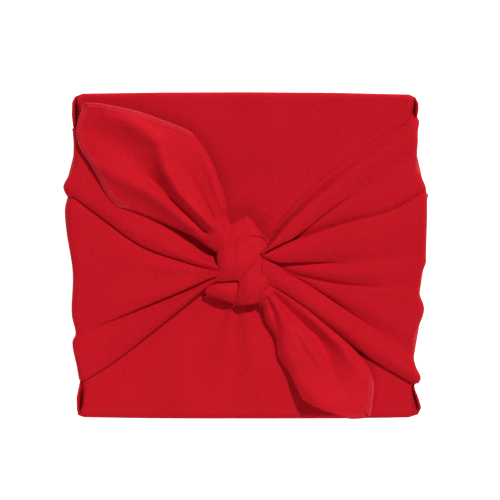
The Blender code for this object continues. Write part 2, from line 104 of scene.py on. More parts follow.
# Anticlockwise from the right side's lower edge. A crease is where one layer lies over the next:
# "over" says whether the layer before or after it is on top. bow: sideways bend at the inner stations.
# edge and under: heights of the top layer's edge and of the turn beneath it; tuck: how far it turns in
# (below nought it spreads out, so the crease fades); swell: how far it draws in at the outline.
# A crown lies at a share of the way between its two creases. open: how far a corner's slit gapes.
wrapFolds = [
    {"crease": "rightLowerEdge", "over": "after", "mouth": (11.5, -16.8), "end": (121.0, -90.2),
     "bow": (-0.4, -1.2, -3.0, -2.0), "edge": (11.0, 5.6, 3.0, 2.3, 1.6),
     "under": (0.2, 0.2, 0.2, 0.2, 0.2), "tuck": (2.0, 3.0, 3.0, 3.0, 2.5), "swell": 2.4},
    {"crown": "rightLowerRoll", "share": 0.35, "end": (122.9, -86.0), "lift": (14.0, 9.5, 7.0, 6.0, 4.0)},
    {"crown": "rightLowerRollTop", "share": 0.72, "end": (119.6, -78.2),
     "lift": (14.0, 9.5, 7.0, 5.4, 3.4)},
    {"crease": "rightLongFold", "over": "before", "mouth": (11.5, -1.4), "end": (118.2, -72.5),
     "bow": (1.5, 2.3, 3.0, 2.4), "edge": (12.0, 6.8, 4.6, 3.6, 2.8), "under": (9.0, 3.2, 1.6, 1.4, 1.8),
     "tuck": (2.5, 2.0, 1.0, 0.2, -2.6), "swell": -0.4},
    {"crown": "rightLowerLobe", "share": 0.35, "end": (119.2, -57.0), "lift": (11.0, 7.0, 5.8, 5.0, 3.6)},
    {"crown": "rightLobe", "share": 0.75, "end": (125.3, -38.0), "lift": (12.5, 8.5, 7.2, 5.6, 3.8)},
    {"crease": "rightMiddleFold", "over": "before", "mouth": (11.5, -1.8), "end": (122.2, -27.3),
     "bow": (-3.4, -6.2, -5.6, -1.0), "edge": (12.0, 8.0, 6.0, 5.2, 3.8),
     "under": (8.0, 3.0, 1.2, 1.8, 3.2), "tuck": (1.5, 3.0, 3.2, 2.0, -3.4), "swell": -0.4},
    {"crown": "rightHollow", "share": 0.55, "end": (124.6, -11.0), "lift": (9.0, 5.2, 5.0, 5.0, 3.6)},
    {"crease": "rightShortFold", "over": "after", "mouth": (11.5, -1.4), "end": (126.6, -1.0),
     "bow": (-4.0, -4.2, -3.2, -1.2), "edge": (12.5, 8.8, 5.4, 4.8, 4.0),
     "under": (9.0, 2.2, 3.4, 4.6, 4.0), "tuck": (1.5, 3.4, 1.0, -3.0, -4.0), "swell": -0.4},
    {"crown": "rightMainLow", "share": 0.30, "end": (126.8, 10.0), "lift": (14.0, 11.0, 8.4, 7.0, 5.0)},
    {"crown": "rightMainTop", "share": 0.70, "end": (127.3, 28.0), "lift": (14.5, 11.5, 9.2, 7.8, 5.2)},
    {"crease": "rightMainFold", "over": "before", "mouth": (11.5, -0.4), "end": (127.3, 43.0),
     "bow": (1.2, 1.9, 0.3, -3.4), "edge": (13.0, 8.5, 6.2, 5.4, 4.0), "under": (8.0, 3.6, 1.6, 0.2, 0.0),
     "tuck": (1.5, 1.5, 2.0, 3.5, 3.0), "swell": -0.3},
    {"crown": "rightFlatLow", "share": 0.14, "end": (126.6, 47.5), "lift": (8.5, 3.4, 1.8, 1.2, 1.4)},
    {"crown": "rightFlat", "share": 0.70, "end": (120.6, 61.5), "lift": (8.5, 4.4, 4.2, 3.4, 1.8)},
    {"crease": "rightDeepFold", "over": "after", "mouth": (11.5, 0.7), "end": (120.4, 71.0),
     "bow": (-1.6, -3.2, -1.0, -0.2), "edge": (13.0, 9.2, 5.8, 4.2, 2.4),
     "under": (9.0, 2.0, 3.4, 3.6, 2.0), "tuck": (1.5, 4.5, 3.4, -1.5, -3.5), "swell": -0.4},
    {"crown": "rightUpperRoll", "share": 0.35, "end": (120.9, 79.0), "lift": (14.5, 11.5, 8.4, 5.8, 3.6)},
    {"crown": "rightUpperRollTop", "share": 0.72, "end": (121.0, 86.5),
     "lift": (13.5, 10.5, 7.6, 5.2, 3.4)},
    {"crease": "rightUpperEdge", "over": "before", "mouth": (11.5, 0.5), "end": (122.0, 94.0),
     "bow": (3.4, 7.3, 8.5, 5.0), "edge": (4.0, 0.0, 0.4, 0.8, 0.6), "under": (-1.6, -1.9, -1.2, 0.0, 0.1),
     "tuck": (-0.8, -2.0, -3.6, -3.6, -2.0), "swell": 0.2},
    {"corner": "upperRightStart", "end": (120.7, 97.0), "open": 0.35,
     "lift": (-2.0, -1.9, -1.2, 0.0, 0.0)},
    {"corner": "upperRightSlit", "end": (121.5, 102.0), "open": 1.0, "lift": (-2.0, -1.9, -1.2, 0.0, 0.0)},
    {"corner": "upperRightSlitEnd", "end": (121.4, 106.5), "open": 0.8,
     "lift": (-2.0, -1.9, -1.2, 0.0, 0.0)},
    {"corner": "upperRightTurn", "end": (119.4, 110.6), "open": 0.1, "lift": (-2.0, -1.9, -1.2, 0.0, 0.0)},
    {"panel": "upperRight", "end": (115.0, 112.8), "lift": (-2.4, -2.2, -1.4, 0.0, 0.2)},
    {"panel": "upperRightMiddle", "end": (62.0, 114.0), "lift": (-4.0, -3.8, -2.6, -0.6, 0.6)},
    {"panel": "upperMiddle", "end": (0.0, 114.4), "lift": (-4.2, -4.0, -2.8, -0.6, 0.8)},
    {"panel": "upperLeftMiddle", "end": (-60.0, 114.2), "lift": (-4.0, -3.8, -2.6, -0.6, 0.6)},
    {"panel": "upperLeft", "end": (-114.5, 113.4), "lift": (-2.4, -2.2, -1.4, 0.0, 0.2)},
    {"corner": "upperLeftTurn", "end": (-119.8, 111.2), "open": 0.1, "lift": (-2.0, -1.9, -1.2, 0.0, 0.0)},
    {"corner": "upperLeftSlitEnd", "end": (-121.8, 107.0), "open": 0.9,
     "lift": (-2.0, -1.9, -1.2, 0.0, 0.0)},
    {"corner": "upperLeftSlit", "end": (-122.0, 98.0), "open": 1.0, "lift": (-2.0, -1.9, -1.2, 0.0, 0.0)},
    {"corner": "upperLeftStart", "end": (-121.4, 92.0), "open": 0.5, "lift": (-2.0, -1.9, -1.2, 0.0, 0.0)},
    {"crease": "leftUpperEdge", "over": "after", "mouth": (-16.4, 3.5), "end": (-121.4, 89.0),
     "bow": (1.4, 1.2, 0.8, 0.3), "edge": (1.0, -1.5, -0.5, 1.2, 1.2), "under": (0.0, -2.0, -1.0, 0.2, 0.2),
     "tuck": (2.0, 3.0, 2.4, 1.6, 1.4), "swell": 0.5},
    {"crown": "leftStripTop", "share": 0.25, "end": (-120.6, 77.0), "lift": (0.0, -2.6, 0.0, 3.0, 2.4)},
    {"crown": "leftStrip", "share": 0.55, "end": (-122.0, 60.0), "lift": (7.0, 1.6, 4.6, 4.8, 3.4)},
    {"crown": "leftStripRoll", "share": 0.85, "end": (-127.7, 47.5), "lift": (13.0, 8.0, 6.8, 5.8, 4.2)},
    {"crease": "leftLongFold", "over": "before", "mouth": (-16.4, -12.0), "end": (-124.4, 40.5),
     "bow": (2.4, 4.6, 9.0, 4.0), "edge": (12.0, 6.0, 4.4, 3.6, 2.4), "under": (8.0, 1.6, 1.0, 0.8, 0.8),
     "tuck": (1.5, 2.6, 3.4, 3.2, 2.6)},
    {"crown": "leftLobeTop", "share": 0.18, "end": (-126.6, 33.0), "lift": (11.5, 4.5, 3.4, 3.0, 3.0)},
    {"crown": "leftLobe", "share": 0.42, "end": (-125.6, 17.0), "lift": (13.0, 8.0, 6.2, 5.0, 4.0)},
    {"crown": "leftLobeLow", "share": 0.68, "end": (-121.2, -12.0), "lift": (13.5, 8.2, 6.0, 5.0, 3.8)},
    {"crown": "leftLobeFoot", "share": 0.88, "end": (-121.8, -42.0), "lift": (13.5, 9.8, 8.0, 6.4, 3.6)},
    {"crease": "leftLowerFold", "over": "before", "mouth": (-16.4, -14.0), "end": (-119.4, -53.0),
     "bow": (-0.6, -0.1, 0.5, 0.8), "edge": (12.5, 8.0, 6.4, 4.2, 2.6), "under": (8.0, 1.6, 0.6, 1.4, 2.4),
     "tuck": (1.5, 3.4, 3.2, 1.4, -3.0), "swell": -0.4},
    {"crown": "leftLowerLobe", "share": 0.35, "end": (-121.4, -61.0), "lift": (12.0, 5.2, 4.4, 4.2, 3.0)},
    {"crown": "leftLowerRoll", "share": 0.75, "end": (-118.4, -78.0), "lift": (12.5, 8.0, 7.0, 5.4, 3.2)},
    {"crease": "leftLowerEdge", "over": "before", "mouth": (-18.4, -17.5), "end": (-116.4, -88.0),
     "bow": (-0.9, -0.2, 1.2, 1.8), "edge": (10.0, 5.4, 3.6, 2.6, 1.6), "under": (0.2, 0.2, 0.2, 0.2, 0.2),
     "tuck": (2.0, 3.0, 3.0, 2.4, 2.0), "swell": 0.5},
    {"corner": "lowerLeftStart", "end": (-117.0, -92.0), "open": 0.5},
    {"corner": "lowerLeftSlit", "end": (-118.6, -100.0), "open": 1.0},
    {"corner": "lowerLeftSlitEnd", "end": (-118.4, -108.0), "open": 0.9},
    {"corner": "lowerLeftTurn", "end": (-117.6, -112.4), "open": 0.1},
    {"panel": "lowerLeft", "end": (-113.5, -114.0), "lift": (0.0, 0.0, 0.0, 0.0, 0.0)},
    {"panel": "lowerLeftMiddle", "end": (-70.0, -114.7), "lift": (-1.5, -1.4, -0.6, 0.5, 0.2)},
    {"panel": "lowerHollow", "end": (-40.0, -114.9), "lift": (-1.0, -1.2, -1.2, -0.4, 0.0)},
    {"panel": "lowerRidge", "end": (-24.0, -114.9), "lift": (0.6, 0.6, 0.8, 0.7, 0.3)},
    {"panel": "lowerGroove", "end": (-10.0, -114.9), "lift": (-0.6, -1.0, -1.3, -0.5, 0.0)},
    {"panel": "lowerSwell", "end": (8.0, -114.9), "lift": (0.6, 0.6, 0.9, 0.9, 0.4)},
    {"panel": "lowerRightHollow", "end": (30.0, -114.9), "lift": (-1.0, -1.2, -1.1, -0.2, 0.0)},
    {"panel": "lowerRightMiddle", "end": (66.0, -114.8), "lift": (-1.5, -1.4, -0.8, 0.4, 0.2)},
    {"panel": "lowerRight", "end": (114.5, -114.2), "lift": (0.0, 0.0, 0.0, 0.0, 0.0)},
    {"corner": "lowerRightTurn", "end": (121.2, -112.0), "open": 0.1},
    {"corner": "lowerRightSlitEnd", "end": (123.4, -107.0), "open": 1.0},
    {"corner": "lowerRightSlit", "end": (121.8, -101.0), "open": 1.0},
    {"corner": "lowerRightStart", "end": (119.2, -94.5), "open": 0.4},
]

wrapMesh = {
    "runRings": 44,
    "runPower": 1.25,      # rings crowd towards the knot
    "wallDrops": (0.06, 0.12, 0.20, 0.29, 0.38, 0.47, 0.56, 0.65, 0.74, 0.83, 0.90, 0.95),
    "wallKeep": (1.0, 1.0, 0.97, 0.92, 0.84, 0.74, 0.62, 0.50, 0.37, 0.24, 0.12, 0.05),
    "footRings": 4,
    "backScales": (0.94, 0.80, 0.55, 0.25),
    "foldSteps": 7,
    "crownSteps": 9,
    "panelSteps": 6,
    "footLeast": 2.2,      # the narrowest a fold may be where it reaches the base
    "footSweeps": 60,      # rounds of spacing them out
    "footMargin": 5.0,     # from the base's corners
    "underIn": 0.4,        # a turned-in edge lies this far inside the outline
    "crownPower": 2.2,     # a crown leaves the line between its creases this late
    "edgeFall": 0.3,       # share of a fold's height that is lost over the parcel's edge
}

# Outward distance and height of the parcel's edge, from the flat to the wall: plain, and opened
# into the long slit that stands beside each corner.
plainEdge = [(1 - math.cos(math.radians(a)), math.sin(math.radians(a))) for a in
             (0, 8, 16, 24, 32, 40, 48, 56, 64, 72, 81, 90)]
slitEdge = [(-5.6, 0.0), (-4.9, -0.1), (-4.4, -0.7), (-4.2, -2.6), (-3.8, -6.5), (-3.2, -9.0),
            (-2.6, -6.5), (-2.3, -2.8), (-1.9, -1.1), (-1.0, -0.5), (-0.2, -1.4), (0.0, -4.5)]


def outwardAt(x, y):
    # the wall's outward direction near a point of the outline
    power = parcel["cornerPower"]
    out = Vector((math.copysign(abs(x / halfX) ** power, x), math.copysign(abs(y / halfY) ** power, y)))
    return out.normalized()


def runPoint(fold, share):
    mouth, end = Vector(fold["mouth"]), Vector(fold["innerEnd"])
    run = end - mouth
    side = Vector((-run.y, run.x)).normalized()
    near, second, middle, far = fold["bow"]
    bow = curveAt(runStations, (0.0, near, second, middle, far, 0.0), share)
    shift = curveAt(liftStations, fold["shift"], share)
    return mouth + run * share + side * (bow + shift)


def wrapControls():
    # one row for each line that the sheet is drawn through, in order round the parcel
    rows = []
    for fold in wrapFolds:
        out = outwardAt(*fold["end"])
        inner = Vector(fold["end"]) - out * parcel["edgeRadius"]
        base = {"end": Vector(fold["end"]), "innerEnd": inner, "out": out, "open": 0.0, "panel": False}
        if "crease" in fold:
            sign = -1.0 if fold["over"] == "before" else 1.0
            edge = dict(base, mouth=fold["mouth"], bow=fold["bow"], shift=flatRun,
                        lift=fold["edge"], steps=wrapMesh["foldSteps"])
            tuck = tuple(sign * value for value in fold["tuck"])
            under = dict(base, mouth=fold["mouth"], bow=fold["bow"], shift=tuck,
                         lift=fold["under"], steps=wrapMesh["foldSteps"])
            sideways = Vector((-out.y, out.x)) * tuck[-1]
            under["end"] = base["end"] + sideways - out * (wrapMesh["underIn"] + fold.get("swell", 0.0))
            rows += [edge, under] if sign < 0 else [under, edge]
        elif "crown" in fold:
            rows.append(dict(base, crown=fold["share"], lift=fold["lift"], steps=wrapMesh["crownSteps"]))
        else:
            middle = Vector((parcel["knotX"], parcel["knotY"]))
            toward = (base["end"] - middle).normalized()
            mouth = middle + Vector((toward.x * parcel["knotReachX"], toward.y * parcel["knotReachY"]))
            rows.append(dict(base, mouth=tuple(mouth), bow=straightBow, shift=flatRun,
                             lift=fold.get("lift", flatRun), steps=wrapMesh["panelSteps"], panel=True,
                             open=fold.get("open", 0.0)))
    # a crown's run lies between its two creases
    count = len(rows)
    for i, row in enumerate(rows):
        if "crown" in row:
            low = next(j for j in range(1, count) if "crown" not in rows[i - j])
            high = next(j for j in range(1, count) if "crown" not in rows[(i + j) % count])
            row["between"] = (rows[i - low], rows[(i + high) % count])
    return rows


def frontPoint(row, share):
    if "crown" not in row:
        place = runPoint(row, share)
    else:
        before, after = row["between"]
        place = runPoint(before, share).lerp(runPoint(after, share), row["crown"])
        last = before["innerEnd"].lerp(after["innerEnd"], row["crown"])
        place = place + (row["innerEnd"] - last) * share ** wrapMesh["crownPower"]
    lift = curveAt(liftStations, row["lift"], share)
    return Vector((place.x, place.y, face + lift))


def footPoints(rows):
    # where each line reaches the base: in order, never closer than the least width
    inner = halfX - wrapMesh["footMargin"]
    total = 4 * (halfX + halfY)
    along = []
    for row in rows:
        # distance round the base, anticlockwise from the lower right corner; the side folds run down
        # to the corner of their own half, and the other lines go straight down
        end = row["end"]
        beside = abs(end.x / halfX) > abs(end.y / halfY)
        x = math.copysign(halfX, end.x) if beside else max(-inner, min(inner, end.x))
        along.append(2 * halfY + halfX - x if end.y > 0 else 4 * halfY + 3 * halfX + x)
    for i in range(1, len(along)):
        if along[i] < along[i - 1] - total / 2:
            along[i] += total
    for sweep in range(wrapMesh["footSweeps"]):
        for i in range(len(along)):
            after = (i + 1) % len(along)
            lap = total if after == 0 else 0.0
            push = (wrapMesh["footLeast"] - (along[after] + lap - along[i])) / 2
            if push > 0:
                along[i] -= push
                along[after] += push
    places = []
    for distance in along:
        distance %= total
        if distance < 2 * halfY:
            places.append(Vector((halfX, distance - halfY)))
        elif distance < 2 * halfY + 2 * halfX:
            places.append(Vector((halfX - (distance - 2 * halfY), halfY)))
        elif distance < 4 * halfY + 2 * halfX:
            places.append(Vector((-halfX, halfY - (distance - 2 * halfY - 2 * halfX))))
        else:
            places.append(Vector((distance - 4 * halfY - 2 * halfX - halfX, -halfY)))
    # the square outline's corners are then drawn in
    power = parcel["footPower"]
    return [place * (abs(place.x / halfX) ** power + abs(place.y / halfY) ** power) ** (-1 / power)
            for place in places]


def wrapRings(rows):
    feet = footPoints(rows)
    rings = []
    for i in range(wrapMesh["runRings"]):
        share = (i / (wrapMesh["runRings"] - 1)) ** wrapMesh["runPower"]
        rings.append([frontPoint(row, share) for row in rows])
    for i in range(1, len(plainEdge)):
        ring = []
        for row in rows:
            lift = row["lift"][-1]
            rise, drop = plainEdge[i]
            slit, mix = slitEdge[i], row["open"]
            last = frontPoint(row, 1.0)
            reach = Vector((last.x, last.y)) - row["end"]
            inward = reach.dot(row["out"])
            sideways = reach - row["out"] * inward
            outward = inward * (1 - drop) * (1 - mix) + slit[0] * mix
            height = -parcel["edgeRadius"] * rise * (1 - mix) + slit[1] * mix
            place = row["end"] + sideways * (1 - drop) + row["out"] * outward
            kept = 1 - wrapMesh["edgeFall"] * rise
            ring.append(Vector((place.x, place.y, face + lift * kept + height)))
        rings.append(ring)
    top = [point.z for point in rings[-1]]
    for drop, keep in zip(wrapMesh["wallDrops"], wrapMesh["wallKeep"]):
        ring = []
        for row, foot, z in zip(rows, feet, top):
            place = foot.lerp(Vector((row["end"].x, row["end"].y)), keep)
            ring.append(Vector((place.x, place.y, z + (parcel["footRadius"] - z) * drop)))
        rings.append(ring)
    for i in range(wrapMesh["footRings"] + 1):
        angle = math.pi / 2 * i / wrapMesh["footRings"]
        radius = parcel["footRadius"]
        ring = []
        for foot in feet:
            place = foot - outwardAt(foot.x, foot.y) * radius * (1 - math.cos(angle))
            ring.append(Vector((place.x, place.y, radius * (1 - math.sin(angle)))))
        rings.append(ring)
    for scale in wrapMesh["backScales"]:
        rings.append([Vector((foot.x * scale, foot.y * scale, 0.0)) for foot in feet])
    return rings


def sampleRing(rows, ring):
    # every line round the parcel, on a spline through the controls
    points = []
    count = len(ring)
    for i in range(count):
        p0, p1, p2, p3 = ring[i - 1], ring[i], ring[(i + 1) % count], ring[(i + 2) % count]
        steps = rows[i]["steps"]
        straight = rows[i]["panel"] and rows[(i + 1) % count]["panel"]
        for step in range(steps):
            t = step / steps
            points.append(p1.lerp(p2, t) if straight else splinePoint(p0, p1, p2, p3, t))
    return points


def addPiece(name, shape, material):
    mesh = bpy.data.meshes.new(name)
    shape.to_mesh(mesh)
    shape.free()
    piece = bpy.data.objects.new(name, mesh)
    bpy.context.scene.collection.objects.link(piece)
    mesh.materials.append(material)
    mesh.shade_smooth()
    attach(piece, "root")
    return piece


def thicken(piece):
    # the cloth's thickness goes inwards
    solid = piece.modifiers.new("thickness", "SOLIDIFY")
    solid.thickness = parcel["thickness"] * mm
    solid.offset = -1.0
    solid.use_even_offset = False


def makeWrap(material):
    rows = wrapControls()
    rings = [sampleRing(rows, ring) for ring in wrapRings(rows)]
    around, deep = len(rings[0]), len(rings)
    shape = bmesh.new()
    bmesh.ops.create_grid(shape, x_segments=around, y_segments=deep - 1, size=0.5)
    uv = shape.loops.layers.uv.new("cloth")
    shape.verts.ensure_lookup_table()
    index = {}
    for vert in shape.verts:
        i = round((vert.co.x + 0.5) * around)
        j = round((vert.co.y + 0.5) * (deep - 1))
        index[vert] = (i, j)
    for vert, (i, j) in index.items():
        vert.co = rings[j][i % around] * mm
    for patch in shape.faces:
        for loop in patch.loops:
            i, j = index[loop.vert]
            loop[uv].uv = unfolded(rings[j][i % around])
    bmesh.ops.remove_doubles(shape, verts=[v for v, (i, j) in index.items() if i in (0, around)], dist=1e-7)
    first = [e for e in shape.edges if e.is_boundary]
    bmesh.ops.holes_fill(shape, edges=first, sides=0)
    bmesh.ops.recalc_face_normals(shape, faces=shape.faces)
    return addPiece("wrap", shape, material)


def unfolded(point):
    # the parcel's surface laid out flat, in metres, so that the weave runs on over the edges
    x, y, z = point.x, point.y, point.z
    down = max(0.0, face - z)
    out = outwardAt(x, y) if abs(x) + abs(y) > 1 else Vector((0.0, 0.0))
    return Vector((x + out.x * down, y + out.y * down)) * mm


# The knot's turns and the two free ends are soft pieces, each drawn between its four borders.
def borderPoint(points, share):
    # a share of the way along a border, on a smooth curve through its points
    lengths = [(Vector(b) - Vector(a)).length for a, b in zip(points, points[1:])]
    target = share * sum(lengths)
    last = len(points) - 1
    for i, length in enumerate(lengths):
        if target <= length or i == last - 1:
            break
        target -= length
    p1, p2 = Vector(points[i]), Vector(points[i + 1])
    p0 = Vector(points[i - 1]) if i > 0 else p1 - (p2 - p1)
    p3 = Vector(points[i + 2]) if i + 2 <= last else p2 + (p2 - p1)
    return splinePoint(p0, p1, p2, p3, min(1.0, target / max(length, 1e-6)))


def foldHeight(place, fold):
    # a trough or ridge along a short path; its depth is given at both ends and halfway
    nearest, along, passed = 1e9, 0.0, 0.0
    path = [Vector(point) for point in fold["path"]]
    whole = sum((b - a).length for a, b in zip(path, path[1:]))
    for start, end in zip(path, path[1:]):
        run = end - start
        share = max(0.0, min(1.0, (place - start).dot(run) / run.length_squared))
        distance = (place - start - run * share).length
        if distance < nearest:
            nearest, along = distance, passed + share * run.length
        passed += run.length
    depth = curveAt((0.0, 0.5, 1.0), fold["depth"], along / whole)
    width = curveAt((0.0, 0.5, 1.0), fold["width"], along / whole)
    return depth * math.exp(-(nearest / width) ** fold.get("round", 2.0))


def patchPoints(spec):
    countU, countV = spec["grid"]
    corners = (Vector(spec["near"][0]), Vector(spec["near"][-1]),
               Vector(spec["far"][0]), Vector(spec["far"][-1]))
    core = []
    for i in range(countU):
        u = i / (countU - 1)
        row = []
        for j in range(countV):
            v = j / (countV - 1)
            across = borderPoint(spec["near"], v).lerp(borderPoint(spec["far"], v), u)
            along = borderPoint(spec["left"], u).lerp(borderPoint(spec["right"], u), v)
            bare = corners[0].lerp(corners[1], v).lerp(corners[2].lerp(corners[3], v), u)
            point = across + along - bare
            crown, powerU, powerV = spec["crown"]
            point.z += crown * math.sin(math.pi * u) ** powerU * math.sin(math.pi * v) ** powerV
            plan = Vector((point.x, point.y))
            for fold in spec["folds"]:
                point.z += foldHeight(plan, fold)
            row.append(point)
        core.append(row)
    return core


def rollRims(core, rims):
    # extra rows past a border, turned under on a small radius; rims: near, far, left, right
    def rolled(lines, rim, atStart):
        radius, degrees, steps = rim
        edge, inner = (lines[0], lines[1]) if atStart else (lines[-1], lines[-2])
        added = []
        for step in range(1, steps + 1):
            angle = math.radians(degrees) * step / steps
            row = []
            for point, behind in zip(edge, inner):
                outward = (point - behind).normalized()
                up = (Vector((0, 0, 1)) - outward * outward.z).normalized()
                row.append(point + outward * radius * math.sin(angle) - up * radius * (1 - math.cos(angle)))
            added.append(row)
        return added[::-1] + lines if atStart else lines + added
    lines = core
    if "near" in rims:
        lines = rolled(lines, rims["near"], True)
    if "far" in rims:
        lines = rolled(lines, rims["far"], False)
    turned = [list(column) for column in zip(*lines)]
    if "left" in rims:
        turned = rolled(turned, rims["left"], True)
    if "right" in rims:
        turned = rolled(turned, rims["right"], False)
    return [list(row) for row in zip(*turned)]


hemSteps = 40      # points along a hem's edge
noHem = 60.0       # the distance that stands for no hem near by


def makePatch(name, spec, material):
    points = rollRims(patchPoints(spec), spec["rims"])
    rows, columns = len(points), len(points[0])
    shape = bmesh.new()
    bmesh.ops.create_grid(shape, x_segments=columns - 1, y_segments=rows - 1, size=0.5)
    clothUv = shape.loops.layers.uv.new("cloth")
    hemUv = shape.loops.layers.uv.new("hem")
    place = {}
    for vert in shape.verts:
        j = round((vert.co.x + 0.5) * (columns - 1))
        i = round((vert.co.y + 0.5) * (rows - 1))
        place[vert] = (i, j)
    alongU = [0.0]
    for i in range(1, rows):
        alongU.append(alongU[-1] + (points[i][columns // 2] - points[i - 1][columns // 2]).length)
    alongV = [0.0]
    middle = min(rows - 1, rows * 2 // 3)
    for j in range(1, columns):
        alongV.append(alongV[-1] + (points[middle][j] - points[middle][j - 1]).length)
    hems = [[borderPoint(spec[border], first + (last - first) * step / hemSteps)
             for step in range(hemSteps + 1)]
            for border, first, last in spec.get("hems", [])]
    measured = {}
    for vert, (i, j) in place.items():
        point = points[i][j]
        vert.co = (point + Vector((0, 0, face))) * mm
        measured[vert] = hemPlace(point, hems)
    for patch in shape.faces:
        for loop in patch.loops:
            i, j = place[loop.vert]
            loop[clothUv].uv = Vector((alongU[i], alongV[j])) * mm
            loop[hemUv].uv = Vector(measured[loop.vert]) * mm
    shape.normal_update()
    if sum(patch.normal.z * patch.calc_area() for patch in shape.faces) < 0:
        bmesh.ops.reverse_faces(shape, faces=shape.faces)
    piece = addPiece(name, shape, material)
    thicken(piece)
    return piece


def hemPlace(point, hems):
    # distance along the nearest hem and distance from its edge
    best = (0.0, noHem)
    for start in hems:
        passed = 0.0
        for a, b in zip(start, start[1:]):
            run = Vector((b.x - a.x, b.y - a.y))
            offset = Vector((point.x - a.x, point.y - a.y))
            share = max(0.0, min(1.0, offset.dot(run) / max(run.length_squared, 1e-9)))
            distance = (offset - run * share).length
            if distance < best[1]:
                best = (passed + share * run.length, distance)
            passed += run.length
    return best


largeEnd = {
    "near": [(-12, 0, 6), (-8, 9, 7), (-4, 17, 6)],
    "far": [(-84.5, 33.0, 5.5), (-89, 34.1, 5.5), (-93.5, 37.9, 5.5), (-97.4, 43, 5.5), (-101.9, 51.4, 6.0),
            (-107.9, 63.1, 6.6), (-115.2, 74.2, 6.6), (-118.0, 84, 6.8), (-117.2, 92.1, 7.0),
            (-114.4, 101.6, 6.4), (-113, 106.1, 6.0)],
    "left": [(-12, 0, 6), (-20.7, 2.8, 7.5), (-34, 11.9, 6.8), (-47.3, 18.2, 5.8), (-65.5, 25.9, 5.5),
             (-84.5, 33.0, 5.5)],
    "right": [(-4, 17, 6), (-11.2, 23.2, 9), (-13.6, 37.9, 8.5), (-16.2, 46.5, 8), (-19.2, 54.6, 7.5),
              (-22.8, 63.5, 7), (-27, 71.4, 6.5), (-31.8, 78.9, 6), (-38, 85.6, 5.8), (-47.3, 90.2, 5.6),
              (-58, 94.2, 5.4), (-70.6, 98.8, 5.8), (-81.8, 101.9, 6.6), (-95.1, 104.6, 7.0),
              (-104, 106, 6.8), (-113, 106.1, 6.0)],
    "crown": (7.5, 0.6, 0.9),
    "folds": [
        {"path": [(-105, 86), (-89, 75), (-74, 62), (-61, 49)], "width": (9.0, 10.5, 5.0),
         "depth": (-3.5, -5.6, -3.4)},
        {"path": [(-67, 54), (-57.5, 44.6), (-41, 29.5), (-28, 17)], "width": (2.8, 2.6, 2.4),
         "depth": (-1.4, -4.6, -4.2), "round": 1.5},
        {"path": [(-44, 66), (-34.5, 47), (-23, 26)], "width": (6.5, 4.6, 2.4), "depth": (-1.2, -3.6, -3.0),
         "round": 1.6},
        {"path": [(-96, 98), (-72, 90), (-60, 82)], "width": (5.0, 6.0, 6.0), "depth": (1.5, 3.0, 3.0)},
        {"path": [(-78, 90), (-60.5, 77), (-54, 58), (-46.5, 44), (-36, 32), (-24, 20)],
         "width": (7.0, 5.0, 2.8), "depth": (2.4, 5.6, 2.6)},
        {"path": [(-105, 64), (-90, 55), (-65, 42.5), (-38, 20)], "width": (4.0, 6.0, 4.0),
         "depth": (1.4, 3.2, 1.8)},
        {"path": [(-31, 74), (-22.5, 54), (-15.5, 32)], "width": (5.0, 4.0, 3.0), "depth": (1.2, 3.4, 2.4)},
    ],
    "rims": {"left": (1.6, 150, 6)},
    "hems": [("far", 0.0, 1.0), ("right", 0.5, 1.0)],
    "grid": (110, 96),
}

smallEnd = {
    "near": [(4, -30, 5.0), (8, -25, 8.5), (12, -19, 7.5)],
    "far": [(40.5, -101, 8.5), (50, -106, 11.5), (58.5, -109.2, 12.5), (71.8, -113.6, 11.5),
            (86.5, -113.4, 7)],
    "left": [(4, -30, 5.0), (11.6, -36.5, 4.4), (13.7, -44.8, 3.0), (21.0, -58.1, 2.6), (23.2, -71, 2.8),
             (31.2, -83.3, 4.0), (37, -95, 6.8), (40.5, -101, 8.5)],
    "right": [(12, -19, 7.5), (18.6, -22.4, 9), (41, -37.1, 9), (58.5, -51.1, 8.8), (71.1, -61.6, 8.2),
              (78, -68.6, 7.4), (85, -77.5, 6.4), (88.6, -86, 5.8), (89.3, -92, 5.8), (86.5, -113.4, 7)],
    "crown": (2.4, 0.7, 0.7),
    "folds": [
        {"path": [(20, -28), (35, -43.5), (48, -55), (57, -69), (63, -87)], "width": (2.6, 6.0, 7.0),
         "depth": (-4.5, -8.6, -3.0), "round": 1.7},
        {"path": [(31, -47), (40, -65), (53, -85)], "width": (2.0, 3.0, 4.0), "depth": (-0.8, -1.8, -0.6)},
        {"path": [(15.5, -31), (19.5, -40), (23.5, -53)], "width": (1.8, 2.4, 2.4),
         "depth": (-2.6, -2.8, -1.0)},
        {"path": [(44, -44), (66, -62), (81, -84)], "width": (3.0, 4.2, 5.0), "depth": (1.8, 3.2, 1.2)},
        {"path": [(21, -44), (28, -66), (38, -88), (54, -104)], "width": (3.0, 5.5, 9.0),
         "depth": (0.8, 2.4, 5.4)},
    ],
    "rims": {"left": (1.2, 150, 6), "right": (0.6, 90, 4)},
    "hems": [("far", 0.72, 1.0), ("right", 0.80, 1.0)],
    "grid": (96, 72),
}

